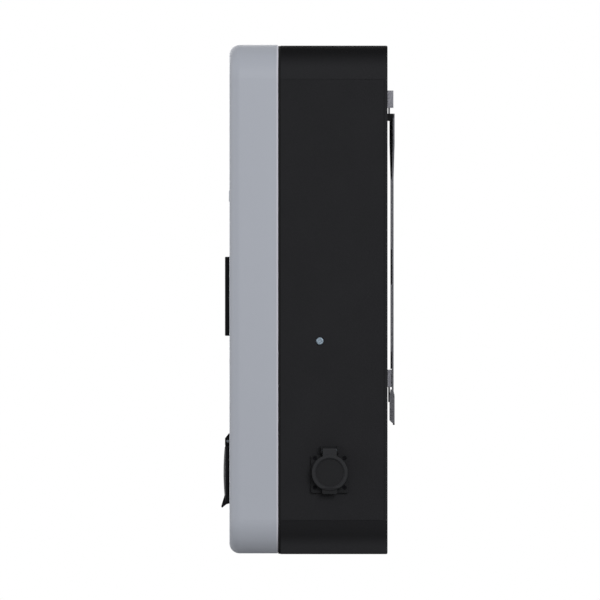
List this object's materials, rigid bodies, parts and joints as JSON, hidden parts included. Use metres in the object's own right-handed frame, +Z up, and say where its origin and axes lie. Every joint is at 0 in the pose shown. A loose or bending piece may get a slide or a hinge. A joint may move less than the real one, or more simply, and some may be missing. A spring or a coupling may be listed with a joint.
{
  "type": "ev wallbox",
  "caption": "Wall-hung charging box for electric cars, with a display, a status light, a lidded charging socket, a capped side data port and a folded wall plate.",
  "frame": {"origin": "on the wall plane, at the centre of the wall plate's four slots", "axes": "+Z up, +Y towards the wall, so the front faces -Y; the data port is on the +X side"},
  "size_m": [0.3049, 0.1542, 0.4527],
  "materials": {
    "cover_finish": "satin silver-grey paint",
    "housing_plastic": "fine-textured black",
    "black_plastic": "smooth black",
    "black_rubber": "matt",
    "plate_steel": "zinc plated",
    "hanger_steel": "zinc plated",
    "cap_plastic": "smooth black",
    "bright_steel": "polished",
    "plated_steel": "plated",
    "black_steel": "blackened",
    "display_glass": "gloss black",
    "light_lens": "frosted",
    "green_board": "solder mask",
    "contact_metal": "silver plated",
    "grey_plastic": "moulded",
    "orange_sleeve": "insulated",
    "can_metal": "sleeved can"
  },
  "bodies": {
    "enclosure": {"rear_housing": "housing_plastic", "front_cover": "cover_finish", "cover_gasket": "black_rubber", "cover_screws": "plated_steel", "wall_plate": "plate_steel", "plate_buffers": "black_rubber", "upper_hanger": "hanger_steel", "lower_hanger": "hanger_steel", "hanger_screws": "plated_steel", "display_bezel": "black_plastic", "display_glass": "display_glass", "display_panel": "grey_plastic", "display_board": "green_board", "display_screws": "plated_steel", "status_light_lens": "light_lens", "status_light_board": "green_board", "status_light_screws": "plated_steel", "socket_face": "black_plastic", "socket_housing": "black_plastic", "socket_core": "black_plastic", "contact_sleeves": "contact_metal", "socket_gasket": "black_rubber", "socket_screws": "plated_steel", "socket_rear_cap": "grey_plastic", "lid_pin": "bright_steel", "lid_spring": "bright_steel", "lock_actuator": "grey_plastic", "data_port_flange": "black_plastic", "data_port_jack": "grey_plastic", "data_cap_pin": "bright_steel", "data_cap_spring": "bright_steel", "data_port_screws": "black_steel", "side_screw": "bright_steel", "cable_grommet": "black_rubber", "main_board": "green_board", "board_screws": "plated_steel", "power_relays": "grey_plastic", "leak_sensor": "grey_plastic", "power_supply": "black_plastic", "filter_choke": "grey_plastic", "capacitors": "can_metal", "terminal_block": "grey_plastic", "terminal_screws": "plated_steel", "socket_link": "grey_plastic", "wiring_loom": "orange_sleeve", "antenna": "green_board"},
    "socket_lid": {"socket_lid": "black_plastic", "lid_seal": "black_rubber"},
    "data_cap": {"data_port_cap": "cap_plastic", "data_cap_seal": "black_rubber"},
    "lock_pin": {"lock_pin": "plated_steel"}
  },
  "joints": [
    {"name": "socket_lid_hinge", "type": "hinge", "parent": "enclosure", "child": "socket_lid", "pos_m": [0, -0.1485, -0.1529], "axis": [-1, 0, 0], "range_deg": [0, 100], "stiffness_Nm_per_rad": 0.02, "springref_deg": -34.38, "deforming": ["lid_spring"]},
    {"name": "data_cap_hinge", "type": "hinge", "parent": "enclosure", "child": "data_cap", "pos_m": [0.1534, -0.0577, -0.161], "axis": [0, -1, 0], "range_deg": [0, 110], "stiffness_Nm_per_rad": 0.004, "springref_deg": -34.38, "deforming": ["data_cap_spring"]},
    {"name": "lock_pin_slide", "type": "slide", "parent": "enclosure", "child": "lock_pin", "axis": [0, 0, -1], "range_m": [0, 0.005]}
  ]
}
